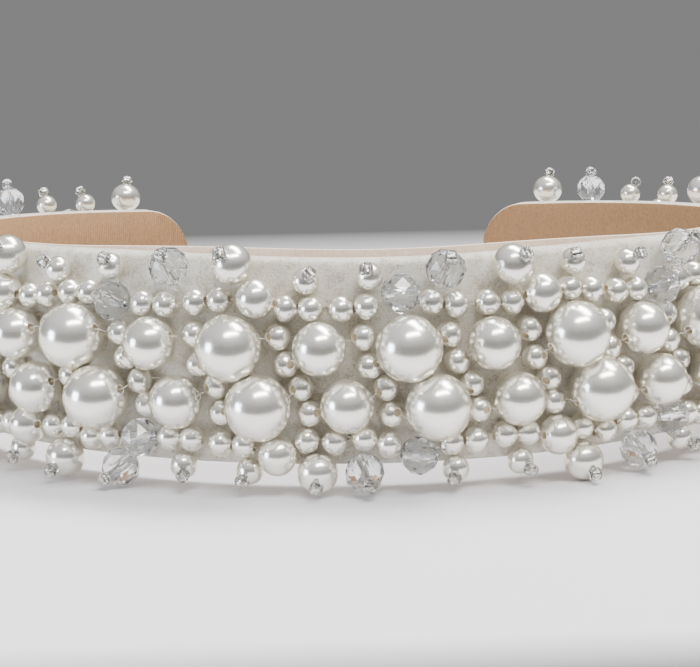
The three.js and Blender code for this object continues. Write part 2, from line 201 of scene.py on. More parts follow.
class Bead:
    """A bead where it is sewn: its place along the velvet, its height, and how far it stands out."""

    def __init__(self, kind, along, height, strand):
        self.kind = kind
        self.along = along
        self.height = height
        self.strand = strand
        self.radius = ROOM[kind][0] / 2
        self.length = ROOM[kind][1]
        self.out = self.radius
        self.axis = None

    def centre(self):
        return on_band(self.along, self.height, self.out)


def pair_beads(column):
    """A slanted pair of large pearls, upper then lower."""
    kind = "pearl10" if column % 2 == 0 else "pearl8"
    middle = MIDDLE_COLUMN_AT + PAIR_LEAN + column * COLUMN_PITCH
    height = tapered(PAIR_MIDDLE, middle)
    return [Bead(kind, middle - side * PAIR_LEAN, height + side * PAIR_HALF[kind], f"pair{column}")
            for side in (1, -1)]


def chain_beads(column):
    """A slanted chain of four small pearls after a column, from the top down."""
    middle = MIDDLE_COLUMN_AT + CHAIN_AT + column * COLUMN_PITCH
    height = tapered(PAIR_MIDDLE, middle)
    return [Bead("pearl4", middle - step * CHAIN_LEAN, height + step * CHAIN_HALF, f"chain{column}")
            for step in (1, 1 / 3, -1 / 3, -1)]


def swag_beads(row, plan):
    """Swags of two small pearls, a crystal or a larger pearl, and two small pearls, in a wave."""
    beads = []
    for swag in range(-SWAGS_EACH_WAY, SWAGS_EACH_WAY + 1):
        centre = "crystal" if swag % 2 == 0 else "pearl6"
        reach = plan["middle"] + swag * plan["pitch"] - SWAG_FIRST_BEAD
        for kind in ("pearl4", "pearl4", centre, "pearl4", "pearl4"):
            length = ROOM[kind][1]
            along = reach + length / 2
            turn = math.pi * (along - MIDDLE_COLUMN_AT - plan["lean"]) / COLUMN_PITCH
            reach += length
            height = plan["height"] + plan["wave"] * math.cos(turn)
            beads.append(Bead(kind, along, tapered(height, along), row))
    return beads


def between(low, high, share):
    return low + (high - low) * share


def top_stack(kind, along, sway):
    """Leans out past the edge on the crown; on the arms it has rolled up and stands on the edge."""
    width = ROOM[kind][0]
    radius = width / 2
    standing = smooth_step(STACK_STANDS_FROM, STACK_STANDS_BY, abs(along))
    rise = between(TOP_STACK_RISE * width - TOP_STACK_BELOW_EDGE, radius + STANDING_LIFT, standing)
    bead = Bead(kind, along, top_at(along) + rise, "top_stacks")
    bead.out = math.sqrt(max(0, radius ** 2 - max(0, rise) ** 2)) + STANDING_OUT * standing
    up, out = (between(a, b, standing) for a, b in zip(TOP_LEAN, STANDING_LEAN))
    bead.axis = (sway, up, out)
    return bead


def bottom_stack(kind, along, sway):
    bead = Bead(kind, along, max(BOTTOM_STACK_HEIGHT, ROOM[kind][0] / 2 + STAND_GAP), "bottom_stacks")
    bead.axis = (sway, *BOTTOM_LEAN)
    return bead


def stack_beads(plan, kinds, make_stack):
    return [make_stack(kinds[stack % len(kinds)], plan["middle"] + stack * plan["pitch"],
                       STACK_SWAY * math.sin(stack * SWAY_TURN))
            for stack in range(plan["first"], plan["last"] + 1)]


def push_apart(a, b):
    """Moves two beads that overlap apart along the velvet's face, the smaller one further."""
    stretch = 1 + (a.out + b.out) / 2 / ARM_RADIUS
    along = (b.along - a.along) * stretch
    if abs(along) > SETTLE_REACH:
        return
    height = b.height - a.height
    out = b.out - a.out
    wanted = (a.length + b.length) / 2 if a.strand == b.strand else a.radius + b.radius + STAND_GAP
    flat = math.hypot(along, height)
    if math.hypot(flat, out) >= wanted or flat < 1e-6:
        return
    push = (math.sqrt(max(0, wanted ** 2 - out ** 2)) - flat) / flat
    share = b.radius ** 2 / (a.radius ** 2 + b.radius ** 2)
    a.along -= push * share * along / stretch
    b.along += push * (1 - share) * along / stretch
    a.height = max(a.height - push * share * height, a.radius + STAND_GAP)
    b.height = max(b.height + push * (1 - share) * height, b.radius + STAND_GAP)


def settle(beads):
    """Pushes overlapping beads apart until all only touch, in the same order as the CAD."""
    near = 2 * SETTLE_REACH
    pairs = [(a, b) for i, a in enumerate(beads) for b in beads[i + 1:] if abs(a.along - b.along) < near]
    for _ in range(SETTLE_ROUNDS):
        for a, b in pairs:
            push_apart(a, b)


columns = list(range(FIRST_COLUMN, LAST_COLUMN + 1))
pairs = [pair_beads(column) for column in columns]
chains = [chain_beads(column) for column in [FIRST_COLUMN - 1] + columns]
upper_swags = swag_beads("upper_swags", UPPER_SWAGS)
lower_swags = swag_beads("lower_swags", LOWER_SWAGS)
top_stacks = stack_beads(TOP_STACKS, TOP_STACK_KINDS, top_stack)
bottom_stacks = stack_beads(BOTTOM_STACKS, BOTTOM_STACK_KINDS, bottom_stack)
bottom_stacks[SHIFTED_STACK - BOTTOM_STACKS["first"]].along += STACK_SHIFT
rows = [upper_swags, lower_swags, top_stacks, bottom_stacks]
settle([bead for group in pairs + chains + rows for bead in group])


# ---- Meshes ----

SHARP_ANGLE = math.radians(65)


class MeshParts:
    """Vertices, faces, the material of each face and the bend share of each vertex, gathered up."""

    def __init__(self):
        self.vertices = []
        self.faces = []
        self.materials = []
        self.shares = []
        self.count = 0

    def add(self, vertices, faces, materials, share):
        self.vertices.append(np.asarray(vertices, float))
        self.faces += [tuple(i + self.count for i in face) for face in faces]
        self.materials += list(materials)
        self.shares.append(np.full(len(vertices), share))
        self.count += len(vertices)

    def build(self, name, materials, smooth=True):
        mesh = bpy.data.meshes.new(name)
        mesh.from_pydata(np.concatenate(self.vertices).tolist(), [], self.faces)
        for material in materials:
            mesh.materials.append(material)
        mesh.polygons.foreach_set("material_index", self.materials)
        mesh.polygons.foreach_set("use_smooth", [smooth] * len(self.faces))
        if smooth:
            mesh.set_sharp_from_angle(angle=SHARP_ANGLE)
        piece = bpy.data.objects.new(name, mesh)
        bpy.context.scene.collection.objects.link(piece)
        return piece


def ring_faces(rings, sides, closed_ends=True):
    """Quads between rings of points that follow each other, and a face on each end."""
    faces = []
    for ring in range(rings - 1):
        for side in range(sides):
            a = ring * sides + side
            b = ring * sides + (side + 1) % sides
            faces.append((a, b, b + sides, a + sides))
    if closed_ends:
        last = (rings - 1) * sides
        faces.append(tuple(reversed(range(sides))))
        faces.append(tuple(range(last, last + sides)))
    return faces


# A pearl's hole: its modelled depth as a share of the pearl's length, and its lip in millimetres.
HOLE_DEPTH = 0.16
LIP = 0.10
LIP_HEIGHT = 0.05
LIP_STEPS = 4


def pearl_profile(width, length, hole, steps):
    """Radii and heights from one hole's floor to the other's, and which stretches are inside a hole."""
    radius = width / 2
    start = math.asin((hole + LIP * 2) / radius)
    rim = length / 2 - LIP_HEIGHT
    half = rim / math.cos(start)
    upper = [(hole, half * (1 - HOLE_DEPTH * 2)), (hole, rim)]
    for i in range(1, LIP_STEPS):
        turn = math.pi * i / LIP_STEPS
        upper.append((hole + LIP - LIP * math.cos(turn), rim + LIP_HEIGHT * math.sin(turn)))
    body = []
    for i in range(steps + 1):
        polar = start + (math.pi - 2 * start) * i / steps
        body.append((radius * math.sin(polar), half * math.cos(polar)))
    lower = [(r, -z) for r, z in reversed(upper)]
    profile = upper + body + lower
    inside = [i < 2 or i >= len(profile) - 3 for i in range(len(profile) - 1)]
    return profile, inside


def lathe(profile, inside, sides):
    """A closed turned body: vertices, faces and the material index of each face (1 inside a hole)."""
    vertices = []
    for radius, height in profile:
        for i in range(sides):
            turn = 2 * math.pi * i / sides
            vertices.append((radius * math.cos(turn), radius * math.sin(turn), -height))
    faces = ring_faces(len(profile), sides)
    materials = [int(inside[i // sides]) for i in range(len(faces) - 2)] + [1, 1]
    return vertices, faces, materials


PEARL_DETAIL = {"pearl10": (48, 24), "pearl8": (44, 22), "pearl6": (36, 18), "pearl4": (28, 14)}


def pearl_template(kind):
    sides, steps = PEARL_DETAIL[kind]
    return lathe(*pearl_profile(*BEADS[kind], steps), sides)


# A faceted crystal's rings, as shares of its width and length; each ring turns half a facet on.
CRYSTAL_RINGS = [(0.30, 1.0), (0.60, 0.84), (0.90, 0.42), (1.0, 0.0),
                 (0.90, -0.42), (0.60, -0.84), (0.30, -1.0)]
CRYSTAL_SIDES = 8


def crystal_template():
    width, length, hole = BEADS["crystal"]
    sides = CRYSTAL_SIDES
    outer = [(width / 2 * r, length / 2 * z, (i % 2) / 2) for i, (r, z) in enumerate(CRYSTAL_RINGS)]
    inner = [(hole, -length / 2, 0.0), (hole, length / 2, 0.0)]
    vertices = []
    for radius, height, offset in outer + inner:
        for i in range(sides):
            turn = 2 * math.pi * (i + offset) / sides
            vertices.append((radius * math.cos(turn), radius * math.sin(turn), -height))
    faces = []
    for ring in range(len(CRYSTAL_RINGS) - 1):
        odd = ring % 2
        for i in range(sides):
            a = ring * sides + i
            b = ring * sides + (i + 1) % sides
            c = a + sides
            d = b + sides
            faces += [(a, b, d), (a, d, c)] if odd else [(a, b, c), (b, d, c)]
    end = (len(CRYSTAL_RINGS) - 1) * sides
    hole_start = len(CRYSTAL_RINGS) * sides
    for i in range(sides):
        j = (i + 1) % sides
        faces.append((end + i, end + j, hole_start + j, hole_start + i))
        faces.append((hole_start + i, hole_start + j, hole_start + sides + j, hole_start + sides + i))
        faces.append((hole_start + sides + i, hole_start + sides + j, j, i))
    return vertices, faces, [0] * len(faces)


SEED_SIDES = 16
SEED_SHOULDER = 0.3
SHOULDER_STEPS = 3
SEED_RIM = 0.12
SEED_RIM_DROP = 0.98


def seed_template():
    """A short glass tube with round shoulders and a silvered hole."""
    width, length, hole = BEADS["seed"]
    side = width / 2 - SEED_SHOULDER
    half = length / 2
    end = half - SEED_SHOULDER
    profile = [(hole, half * SEED_RIM_DROP), (hole + SEED_RIM, half)]
    for i in range(SHOULDER_STEPS + 1):
        turn = math.pi / 2 * i / SHOULDER_STEPS
        profile.append((side + SEED_SHOULDER * math.sin(turn), end + SEED_SHOULDER * math.cos(turn)))
    profile += [(r, -z) for r, z in reversed(profile)]
    vertices = []
    for r, height in profile:
        for i in range(SEED_SIDES):
            turn = 2 * math.pi * i / SEED_SIDES
            vertices.append((r * math.cos(turn), r * math.sin(turn), -height))
    faces = ring_faces(len(profile), SEED_SIDES, closed_ends=False)
    materials = [0] * len(faces)
    last = (len(profile) - 1) * SEED_SIDES
    for i in range(SEED_SIDES):
        j = (i + 1) % SEED_SIDES
        faces.append((last + i, last + j, j, i))
        materials.append(1)
    return vertices, faces, materials


TEMPLATES = {kind: pearl_template(kind) for kind in PEARL_DETAIL}
TEMPLATES["crystal"] = crystal_template()
TEMPLATES["seed"] = seed_template()


def placed(kind, centre, axis, spin):
    """A bead's template, turned so its hole runs along axis and moved to its centre."""
    vertices, faces, materials = TEMPLATES[kind]
    turn = axis.to_track_quat("Z", "Y").to_matrix() @ Matrix.Rotation(spin, 3, "Z")
    moved = np.array(vertices) @ np.array(turn).T * MM + np.array(centre)
    return moved, faces, materials


# ---- Bending with the arms ----

BEND = {}
for side, arm in ((-1, "left_arm"), (1, "right_arm")):
    start = on_band(side * (FLEX_AT - FLEX_REACH), 0, 0)
    end = on_band(side * (FLEX_AT + FLEX_REACH), 0, 0)
    BEND[arm] = (start, end)


def bend_share(arm, point):
    start, end = BEND[arm]
    line = Vector((end.x - start.x, end.y - start.y, 0))
    t = (point - start).dot(line) / line.length_squared
    return smooth_step(0, 1, t)


def arm_of(along):
    return "left_arm" if along < 0 else "right_arm"


def bend(piece, arm, shares=None):
    """The piece bends from the crown to the arm; with shares, each bead turns as one rigid piece."""
    start, end = BEND[arm]
    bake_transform(piece, "crown", arm, start=(start.x, start.y, 0), end=(end.x, end.y, 0))
    if shares is not None:
        attribute = piece.data.attributes["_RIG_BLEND"]
        attribute.data.foreach_set("value", np.concatenate(shares).astype(np.float32))


# ---- The table, in metres ----

TABLE_REACH = 1.0
TABLE_FRONT = -0.158
TABLE_FRONT_FADE = 0.016
TABLE_BACK = 0.262
TABLE_BACK_FADE = 0.105


# ---- Materials ----

def new_material(name):
    material = bpy.data.materials.new(name)
    material.use_nodes = True
    return material, material.node_tree.nodes, material.node_tree.links


def set_sockets(shader, **values):
    for name, value in values.items():
        shader.inputs[name.replace("_", " ")].default_value = value


def noise_texture(nodes, links, scale, detail=4.0, roughness=0.6):
    coordinates = nodes.new("ShaderNodeTexCoord")
    texture = nodes.new("ShaderNodeTexNoise")
    texture.inputs["Scale"].default_value = scale
    texture.inputs["Detail"].default_value = detail
    texture.inputs["Roughness"].default_value = roughness
    links.new(coordinates.outputs["Object"], texture.inputs["Vector"])
    return texture.outputs["Fac"]


def colour_ramp(nodes, links, source, stops):
    ramp = nodes.new("ShaderNodeValToRGB")
    while len(ramp.color_ramp.elements) < len(stops):
        ramp.color_ramp.elements.new(0.5)
    for element, (place, colour) in zip(ramp.color_ramp.elements, stops):
        element.position = place
        element.color = (*colour, 1)
    links.new(source, ramp.inputs["Fac"])
    return ramp.outputs["Color"]


def map_range(nodes, links, source, low, high):
    node = nodes.new("ShaderNodeMapRange")
    node.inputs["From Min"].default_value = low
    node.inputs["From Max"].default_value = high
    links.new(source, node.inputs["Value"])
    return node.outputs["Result"]


def add_bump(nodes, links, shader, height, distance, strength=1.0):
    bump = nodes.new("ShaderNodeBump")
    bump.inputs["Distance"].default_value = distance
    bump.inputs["Strength"].default_value = strength
    links.new(height, bump.inputs["Height"])
    links.new(bump.outputs["Normal"], shader.inputs["Normal"])


def pearl_material():
    """Imitation pearl: pearly paint that half reflects, under a thin clear lacquer."""
    material, nodes, links = new_material("pearl_lacquer")
    shader = nodes["Principled BSDF"]
    tone = noise_texture(nodes, links, 260, 4)
    colour = colour_ramp(nodes, links, tone, [(0.3, (0.90, 0.865, 0.775)), (0.7, (0.95, 0.935, 0.88))])
    links.new(colour, shader.inputs["Base Color"])
    set_sockets(shader, Metallic=0.8, Roughness=0.22, IOR=1.5, Coat_Weight=0.3, Coat_Roughness=0.06,
                Specular_Tint=(0.84, 0.74, 0.52, 1))
    add_bump(nodes, links, shader, noise_texture(nodes, links, 2600, 2), 0.00001)
    return material


def hole_material():
    """The bare, slightly ragged wall of a pearl's drilled hole."""
    material, nodes, links = new_material("pearl_drilling")
    shader = nodes["Principled BSDF"]
    tone = noise_texture(nodes, links, 3000, 3)
    colour = colour_ramp(nodes, links, tone, [(0.3, (0.58, 0.49, 0.33)), (0.7, (0.80, 0.72, 0.55))])
    links.new(colour, shader.inputs["Base Color"])
    set_sockets(shader, Roughness=0.45)
    add_bump(nodes, links, shader, tone, 0.00008)
    return material


def glass_material(name, tint, roughness):
    material, nodes, links = new_material(name)
    shader = nodes["Principled BSDF"]
    wear = noise_texture(nodes, links, 900, 3)
    colour = colour_ramp(nodes, links, wear, [(0.35, tint), (0.65, (0.99, 0.995, 1.0))])
    links.new(colour, shader.inputs["Base Color"])
    set_sockets(shader, Transmission_Weight=0.96, Roughness=roughness, IOR=1.52)
    return material


def silver_material():
    material, nodes, links = new_material("silver_lining")
    shader = nodes["Principled BSDF"]
    tone = noise_texture(nodes, links, 2500, 2)
    colour = colour_ramp(nodes, links, tone, [(0.35, (0.22, 0.20, 0.16)), (0.6, (0.90, 0.88, 0.82))])
    links.new(colour, shader.inputs["Base Color"])
    set_sockets(shader, Metallic=1.0, Roughness=0.18)
    add_bump(nodes, links, shader, tone, 0.00006)
    return material


PILE_SHARE = 0.55


def velvet_material():
    """Ivory short pile, brushed unevenly, so patches of the nap lie lighter or darker."""
    material, nodes, links = new_material("ivory_velvet")
    shader = nodes["Principled BSDF"]
    nap = noise_texture(nodes, links, 420, 6, 0.7)
    pile = noise_texture(nodes, links, 3200, 4, 0.8)
    mix = nodes.new("ShaderNodeMath")
    mix.operation = "MULTIPLY_ADD"
    mix.inputs[1].default_value = PILE_SHARE
    links.new(pile, mix.inputs[0])
    patches = nodes.new("ShaderNodeMath")
    patches.operation = "MULTIPLY"
    patches.inputs[1].default_value = 1 - PILE_SHARE
    links.new(nap, patches.inputs[0])
    links.new(patches.outputs[0], mix.inputs[2])
    stops = [(0.38, (0.50, 0.44, 0.34)), (0.50, (0.87, 0.82, 0.71)), (0.62, (0.98, 0.96, 0.90))]
    links.new(colour_ramp(nodes, links, mix.outputs[0], stops), shader.inputs["Base Color"])
    set_sockets(shader, Roughness=0.95, Specular_IOR_Level=0.15, Sheen_Weight=0.55, Sheen_Roughness=0.4,
                Sheen_Tint=(1.0, 0.97, 0.92, 1))
    add_bump(nodes, links, shader, mix.outputs[0], 0.00035)
    return material


def ribbon_material(name, low, high):
    """Blush grosgrain: a dull silk face with the fine unevenness of its threads, in the colours given: one
    copy darkened with painted shade and one copy lightened with painted light.
    """
    material, nodes, links = new_material(name)
    shader = nodes["Principled BSDF"]
    tone = noise_texture(nodes, links, 1500, 5, 0.7)
    links.new(colour_ramp(nodes, links, tone, [(0.3, low), (0.7, high)]), shader.inputs["Base Color"])
    set_sockets(shader, Roughness=0.7, Specular_IOR_Level=0.2)
    add_bump(nodes, links, shader, noise_texture(nodes, links, 5200, 2), 0.00006)
    return material


def thread_material():
    material, nodes, links = new_material("clear_nylon")
    shader = nodes["Principled BSDF"]
    tone = noise_texture(nodes, links, 700, 2)
    stops = [(0.3, (0.86, 0.85, 0.80)), (0.7, (0.97, 0.97, 0.95))]
    links.new(colour_ramp(nodes, links, tone, stops), shader.inputs["Base Color"])
    set_sockets(shader, Transmission_Weight=0.8, Roughness=0.12, IOR=1.5)
    return material


def core_material():
    material, nodes, links = new_material("core_plastic")
    shader = nodes["Principled BSDF"]
    tone = noise_texture(nodes, links, 300, 3)
    stops = [(0.3, (0.80, 0.79, 0.75)), (0.7, (0.88, 0.87, 0.84))]
    links.new(colour_ramp(nodes, links, tone, stops), shader.inputs["Base Color"])
    set_sockets(shader, Roughness=0.45)
    return material


def floor_material():
    """A white table top that fades into the grey behind it at its far edge and its front edge."""
    material, nodes, links = new_material("pale_table")
    shader = nodes["Principled BSDF"]
    tone = noise_texture(nodes, links, 6, 3)
    stops = [(0.3, (0.88, 0.87, 0.895)), (0.7, (0.93, 0.92, 0.945))]
    links.new(colour_ramp(nodes, links, tone, stops), shader.inputs["Base Color"])
    set_sockets(shader, Roughness=0.5)
    place = nodes.new("ShaderNodeTexCoord")
    split = nodes.new("ShaderNodeSeparateXYZ")
    links.new(place.outputs["Object"], split.inputs[0])
    depth = map_range(nodes, links, split.outputs["Y"], ORIGIN.y + TABLE_FRONT, ORIGIN.y + TABLE_BACK)
    full_from = TABLE_FRONT_FADE / (TABLE_BACK - TABLE_FRONT)
    full_to = 1 - TABLE_BACK_FADE / (TABLE_BACK - TABLE_FRONT)
    stops = [(0, (0, 0, 0)), (full_from, (1, 1, 1)), (full_to, (1, 1, 1)), (1, (0, 0, 0))]
    links.new(colour_ramp(nodes, links, depth, stops), shader.inputs["Alpha"])
    return material


PEARL = [pearl_material(), hole_material()]
CRYSTAL = [glass_material("cut_crystal", (0.96, 0.975, 0.99), 0.0)]
SEED = [glass_material("seed_glass", (0.94, 0.95, 0.93), 0.03), silver_material()]
VELVET_CLOTH = velvet_material()
# One blush ribbon in two copies. The inner face's copy is darkened to tan as painted shade. The copy for the
# edges and back is a paler blush with painted light, where the edge catches the light.
SHADED_RIBBON_CLOTH = ribbon_material("shaded_blush_grosgrain", (0.29, 0.165, 0.078), (0.42, 0.25, 0.125))
LIT_SELVEDGE = ribbon_material("lit_blush_selvedge", (0.74, 0.57, 0.45), (0.92, 0.76, 0.63))
NYLON = thread_material()
PLASTIC = core_material()


# ---- The beads ----

rng = np.random.default_rng(7)


def wander(amount):
    return Vector(rng.uniform(-1, 1, 3)) * amount


def strand_axes(beads, amount):
    """The direction of each bead's hole: along the strand, turned a little off it."""
    axes = []
    for i, bead in enumerate(beads):
        line = beads[min(i + 1, len(beads) - 1)].centre() - beads[max(i - 1, 0)].centre()
        axes.append((line.normalized() + wander(amount)).normalized())
    return axes


# Each large pearl is strung between a small pearl of the chain before it and one of the chain after.
STRUNG_BEFORE = (1, 3)
STRUNG_AFTER = (0, 2)
SMALL_PEARL_LIFT = 0.75
SMALL_PEARL_WANDER = 0.4
SWAG_WANDER = 0.18


def strung_triples(i):
    """The (before, large, after) pearls of column i, upper then lower."""
    return [(chains[i][STRUNG_BEFORE[row]], pairs[i][row], chains[i + 1][STRUNG_AFTER[row]])
            for row in (0, 1)]


def set_column_axes():
    for chain in chains:
        for bead in chain:
            bead.hole = (forwards(bead.along) + outwards(bead.along) * SMALL_PEARL_LIFT).normalized()
    for i in range(len(columns)):
        for before, large, after in strung_triples(i):
            large.hole = (after.centre() - before.centre()).normalized()
            for small in (before, after):
                line = (large.centre() - small.centre()).normalized()
                tilt = outwards(small.along) * SMALL_PEARL_LIFT + wander(SMALL_PEARL_WANDER)
                small.hole = (line + tilt).normalized()


def stack_axis(bead):
    along, up, out = bead.axis
    return (forwards(bead.along) * along + Vector((0, 0, up)) + outwards(bead.along) * out).normalized()


def bead_piece(name, kinds, placed_beads, materials, nodes, smooth=True):
    """One piece from (kind, centre, axis, arm) entries of the wanted kinds, bending by whole beads."""
    parts = MeshParts()
    arms = set()
    for kind, centre, axis, arm in placed_beads:
        spin = rng.uniform(0, 2 * math.pi)
        if kind not in kinds:
            continue
        vertices, faces, face_materials = placed(kind, centre, axis, spin)
        parts.add(vertices, faces, face_materials, bend_share(arm, centre))
        arms.add(arm)
    piece = parts.build(name, materials, smooth)
    bend(piece, arms.pop(), parts.shares)
    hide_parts(*nodes)
    return piece


def entries(beads, axes, arm=None):
    return [(b.kind, b.centre(), axis, arm or arm_of(b.along)) for b, axis in zip(beads, axes)]


PEARLS = ("pearl10", "pearl8", "pearl6", "pearl4")
CRYSTALS = ("crystal",)
SEEDS = ("seed",)


def make_clusters():
    """Each pair of large pearls, with the chain on its side towards the crown's middle."""
    set_column_axes()
    for i, column in enumerate(columns):
        mine = list(pairs[i])
        if column > 0 or column == FIRST_COLUMN:
            mine += chains[i]
        if column < 0 or column == LAST_COLUMN:
            mine += chains[i + 1]
        arm = arm_of(pairs[i][0].along)
        name = f"pearl_cluster_{i + 1:02d}"
        holes = [bead.hole for bead in mine]
        bead_piece(f"pearls_{i + 1:02d}", PEARLS, entries(mine, holes, arm), PEARL, [name])


def on_side(beads, axes, side):
    return [e for e in entries(beads, axes) if (e[3] == "left_arm") == (side == "left")]


ROWS = ("upper_swags", "lower_swags", "top_stacks", "bottom_stacks")


def row_nodes(row, side):
    return [f"{row}_{side}_rear", f"{row}_{side}_front", f"{row}_crown"]


def make_swags(row, beads):
    axes = strand_axes(beads, SWAG_WANDER)
    for side in ("left", "right"):
        mine = on_side(beads, axes, side)
        nodes = row_nodes(row, side)
        bead_piece(f"{row}_pearls_{side}", PEARLS, mine, PEARL, nodes)
        bead_piece(f"{row}_crystals_{side}", CRYSTALS, mine, CRYSTAL, nodes, smooth=False)


SEED_LOWEST = 1.3
SEED_SEAT = 0.86


def seed_on(bead, axis):
    """The seed bead that holds a stack down: on its outer end, with its hole across the stack."""
    width = BEADS["seed"][0]
    centre = bead.centre() + axis * (BEADS[bead.kind][1] + width * SEED_SEAT) / 2 * MM
    centre.z = max(centre.z, SEED_LOWEST * MM)
    return ("seed", centre, axis.cross(wander(1)).normalized(), arm_of(bead.along))


def make_stacks(row, beads):
    """A row of stacks: pearls, crystals and seed beads on each side, and the paths of their thread."""
    axes = [stack_axis(b) for b in beads]
    seeds = [seed_on(bead, axis) for bead, axis in zip(beads, axes)]
    for side in ("left", "right"):
        mine = on_side(beads, axes, side)
        nodes = row_nodes(row, side)
        bead_piece(f"{row}_pearls_{side}", PEARLS, mine, PEARL, nodes)
        bead_piece(f"{row}_crystals_{side}", CRYSTALS, mine, CRYSTAL, nodes, smooth=False)
        mine = [s for s in seeds if s[3] == f"{side}_arm"]
        bead_piece(f"{row}_seeds_{side}", SEEDS, mine, SEED, nodes)
    return [stack_loop(bead, axis, seed) for bead, axis, seed in zip(beads, axes, seeds)]


# ---- The nylon thread ----

THREAD_SIDES = 6
THREAD_SAMPLES = 4
THREAD_BESIDE = 0.16
BURIED = -0.6
ACROSS_FIRST = Vector((0.31, 0.22, 0.92))  # where a tube's corners start from: no thread runs this way
CLEAR_OF_PEARL = 0.15
CLEAR_OF_SEED = 0.25
STRAIGHT_THROUGH = 1.2
TRIPLE_ENTRY = 2.2
SWAG_ENTRY = 2.6
LARGE_PEARL_EXIT = 0.9


def smooth_path(points):
    """Extra points on a curve that passes through all the points."""
    path = []
    for i in range(len(points) - 1):
        before = points[max(0, i - 1)]
        a, b = points[i], points[i + 1]
        after = points[min(len(points) - 1, i + 2)]
        for step in range(THREAD_SAMPLES):
            t = step / THREAD_SAMPLES
            bend_in = (b - before) * (t * (1 - t) ** 2) / 2
            bend_out = (after - a) * (t * t * (1 - t)) / 2
            path.append(a.lerp(b, t * t * (3 - 2 * t)) + bend_in - bend_out)
    return path + [points[-1]]


def tube(points):
    """A closed round tube along a smooth path that stays above the table."""
    path = smooth_path(points)
    for point in path:
        point.z = max(point.z, THREAD_RADIUS * MM)
    across = ACROSS_FIRST
    vertices = []
    for i, point in enumerate(path):
        line = (path[min(i + 1, len(path) - 1)] - path[max(i - 1, 0)]).normalized()
        across = (across - line * across.dot(line)).normalized()
        beside = line.cross(across)
        for side in range(THREAD_SIDES):
            turn = 2 * math.pi * side / THREAD_SIDES
            offset = across * math.cos(turn) + beside * math.sin(turn)
            vertices.append(tuple(point + offset * THREAD_RADIUS * MM))
    faces = [tuple(reversed(face)) for face in ring_faces(len(path), THREAD_SIDES)]
    return vertices, faces


def mouth(bead, axis, sign):
    """Just outside the end of a bead's hole."""
    return bead.centre() + axis * sign * (BEADS[bead.kind][1] / 2 + CLEAR_OF_PEARL) * MM


def stack_loop(bead, axis, seed):
    """Up through a stack's bead, through its seed bead, and back down."""
    _, centre, hole, _ = seed
    reach = (BEADS["seed"][1] / 2 + CLEAR_OF_SEED) * MM
    beside = THREAD_BESIDE * MM
    low = [bead.centre() + hole * beside * side for side in (-1, 1)]
    high = [mouth(bead, axis, 1) + hole * beside * side for side in (-1, 1)]
    side_mouths = [centre + hole * reach * side for side in (-1, 1)]
    return bead.along, [low[0], high[0], side_mouths[0], centre, side_mouths[1], high[1], low[1]]


def triple_path(beads):
    """Out of the velvet, through three pearls and back into it."""
    before, large, after = beads
    step = (after.centre() - before.centre()).normalized() * STRAIGHT_THROUGH * MM
    reach = large.hole * large.radius * MM * LARGE_PEARL_EXIT
    path = [on_band(before.along - TRIPLE_ENTRY, before.height, BURIED)]
    path += [before.centre() - step, before.centre() + step]
    path += [large.centre() - reach, large.centre(), large.centre() + reach]
    path += [after.centre() - step, after.centre() + step]
    path += [on_band(after.along + TRIPLE_ENTRY, after.height, BURIED)]
    return large.along, path


def swag_path(beads):
    """One swag's thread: out of the velvet, along its five beads and back in."""
    first, last = beads[0], beads[-1]
    start = on_band(first.along - SWAG_ENTRY, first.height, BURIED)
    end = on_band(last.along + SWAG_ENTRY, last.height, BURIED)
    return beads[2].along, [start] + [b.centre() for b in beads] + [end]


def make_threads(loops):
    paths = [triple_path(triple) for i in range(len(columns)) for triple in strung_triples(i)]
    for row in (upper_swags, lower_swags):
        paths += [swag_path(row[i:i + 5]) for i in range(0, len(row), 5)]
    paths += loops
    for side, name in ((-1, "left"), (1, "right")):
        parts = MeshParts()
        for along, points in paths:
            if (along < 0) == (side < 0):
                vertices, faces = tube(points)
                parts.add(vertices, faces, [0] * len(faces), 0)
        thread = parts.build(f"beading_thread_{name}", [NYLON])
        bend(thread, f"{name}_arm")
        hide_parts(*[n for row in ROWS for n in row_nodes(row, name)])


# ---- The band's layers ----

def stations(near, far, step):
    """Distances along the band: even ones, then even ones round the tip's rounded corner."""
    corner = TIP - TIP_CORNER
    if far <= corner or near >= corner:
        return spread(near, far, max(2, round((far - near) / step)))
    turn = math.asin((far - corner) / TIP_CORNER)
    turns = spread(0, turn, max(2, round(turn * TIP_CORNER / step)))
    straight = spread(near, corner, round((corner - near) / step))[:-1]
    return straight + [corner + TIP_CORNER * math.sin(t) for t in turns]


def strip_mesh(parts, side, near, far, step, section, relief=None, edges=()):
    """Adds a stretch of a layer to the mesh.

    section(along) is its outline of (height, depth) points, and relief(along, height, depth) is how
    far a point stands out from its place. The stretches of the outline that edges lists take the
    second material.
    """
    places = [side * along for along in stations(near, far, step)]
    vertices = []
    for along in places:
        for height, depth in section(along):
            lift = relief(along, height, depth) if relief else 0
            vertices.append(tuple(on_band(along, height, lift - depth)))
    points = len(section(0))
    faces = ring_faces(len(places), points)
    if side > 0:
        faces = [tuple(reversed(face)) for face in faces]
    parts.add(vertices, faces, [int(i % points in edges) for i in range(len(faces))], 0)


def band_piece(name, stretches, side, materials):
    """A piece of the band on one side of the crown's middle; each stretch is strip_mesh's arguments."""
    parts = MeshParts()
    for stretch in stretches:
        strip_mesh(parts, -1 if side == "left" else 1, *stretch)
    piece = parts.build(name, materials)
    bend(piece, f"{side}_arm")
    return piece


VELVET_FACE_STEPS = 30
VELVET_STEP = 0.9
EDGE_ROUND = 1.0
EDGE_STEPS = 5
TIP_ROUND = 1.3
TIP_LEAST_DEPTH = 0.12


def spread(low, high, steps):
    return [low + (high - low) * i / steps for i in range(steps + 1)]


def tip_depth(along):
    """How much of the cover's thickness is left, as it rounds over the end of the arm."""
    inside = TIP_ROUND - (TIP - abs(along))
    if inside <= 0:
        return 1.0
    return max(TIP_LEAST_DEPTH, math.sqrt(max(0, 1 - (inside / TIP_ROUND) ** 2)))


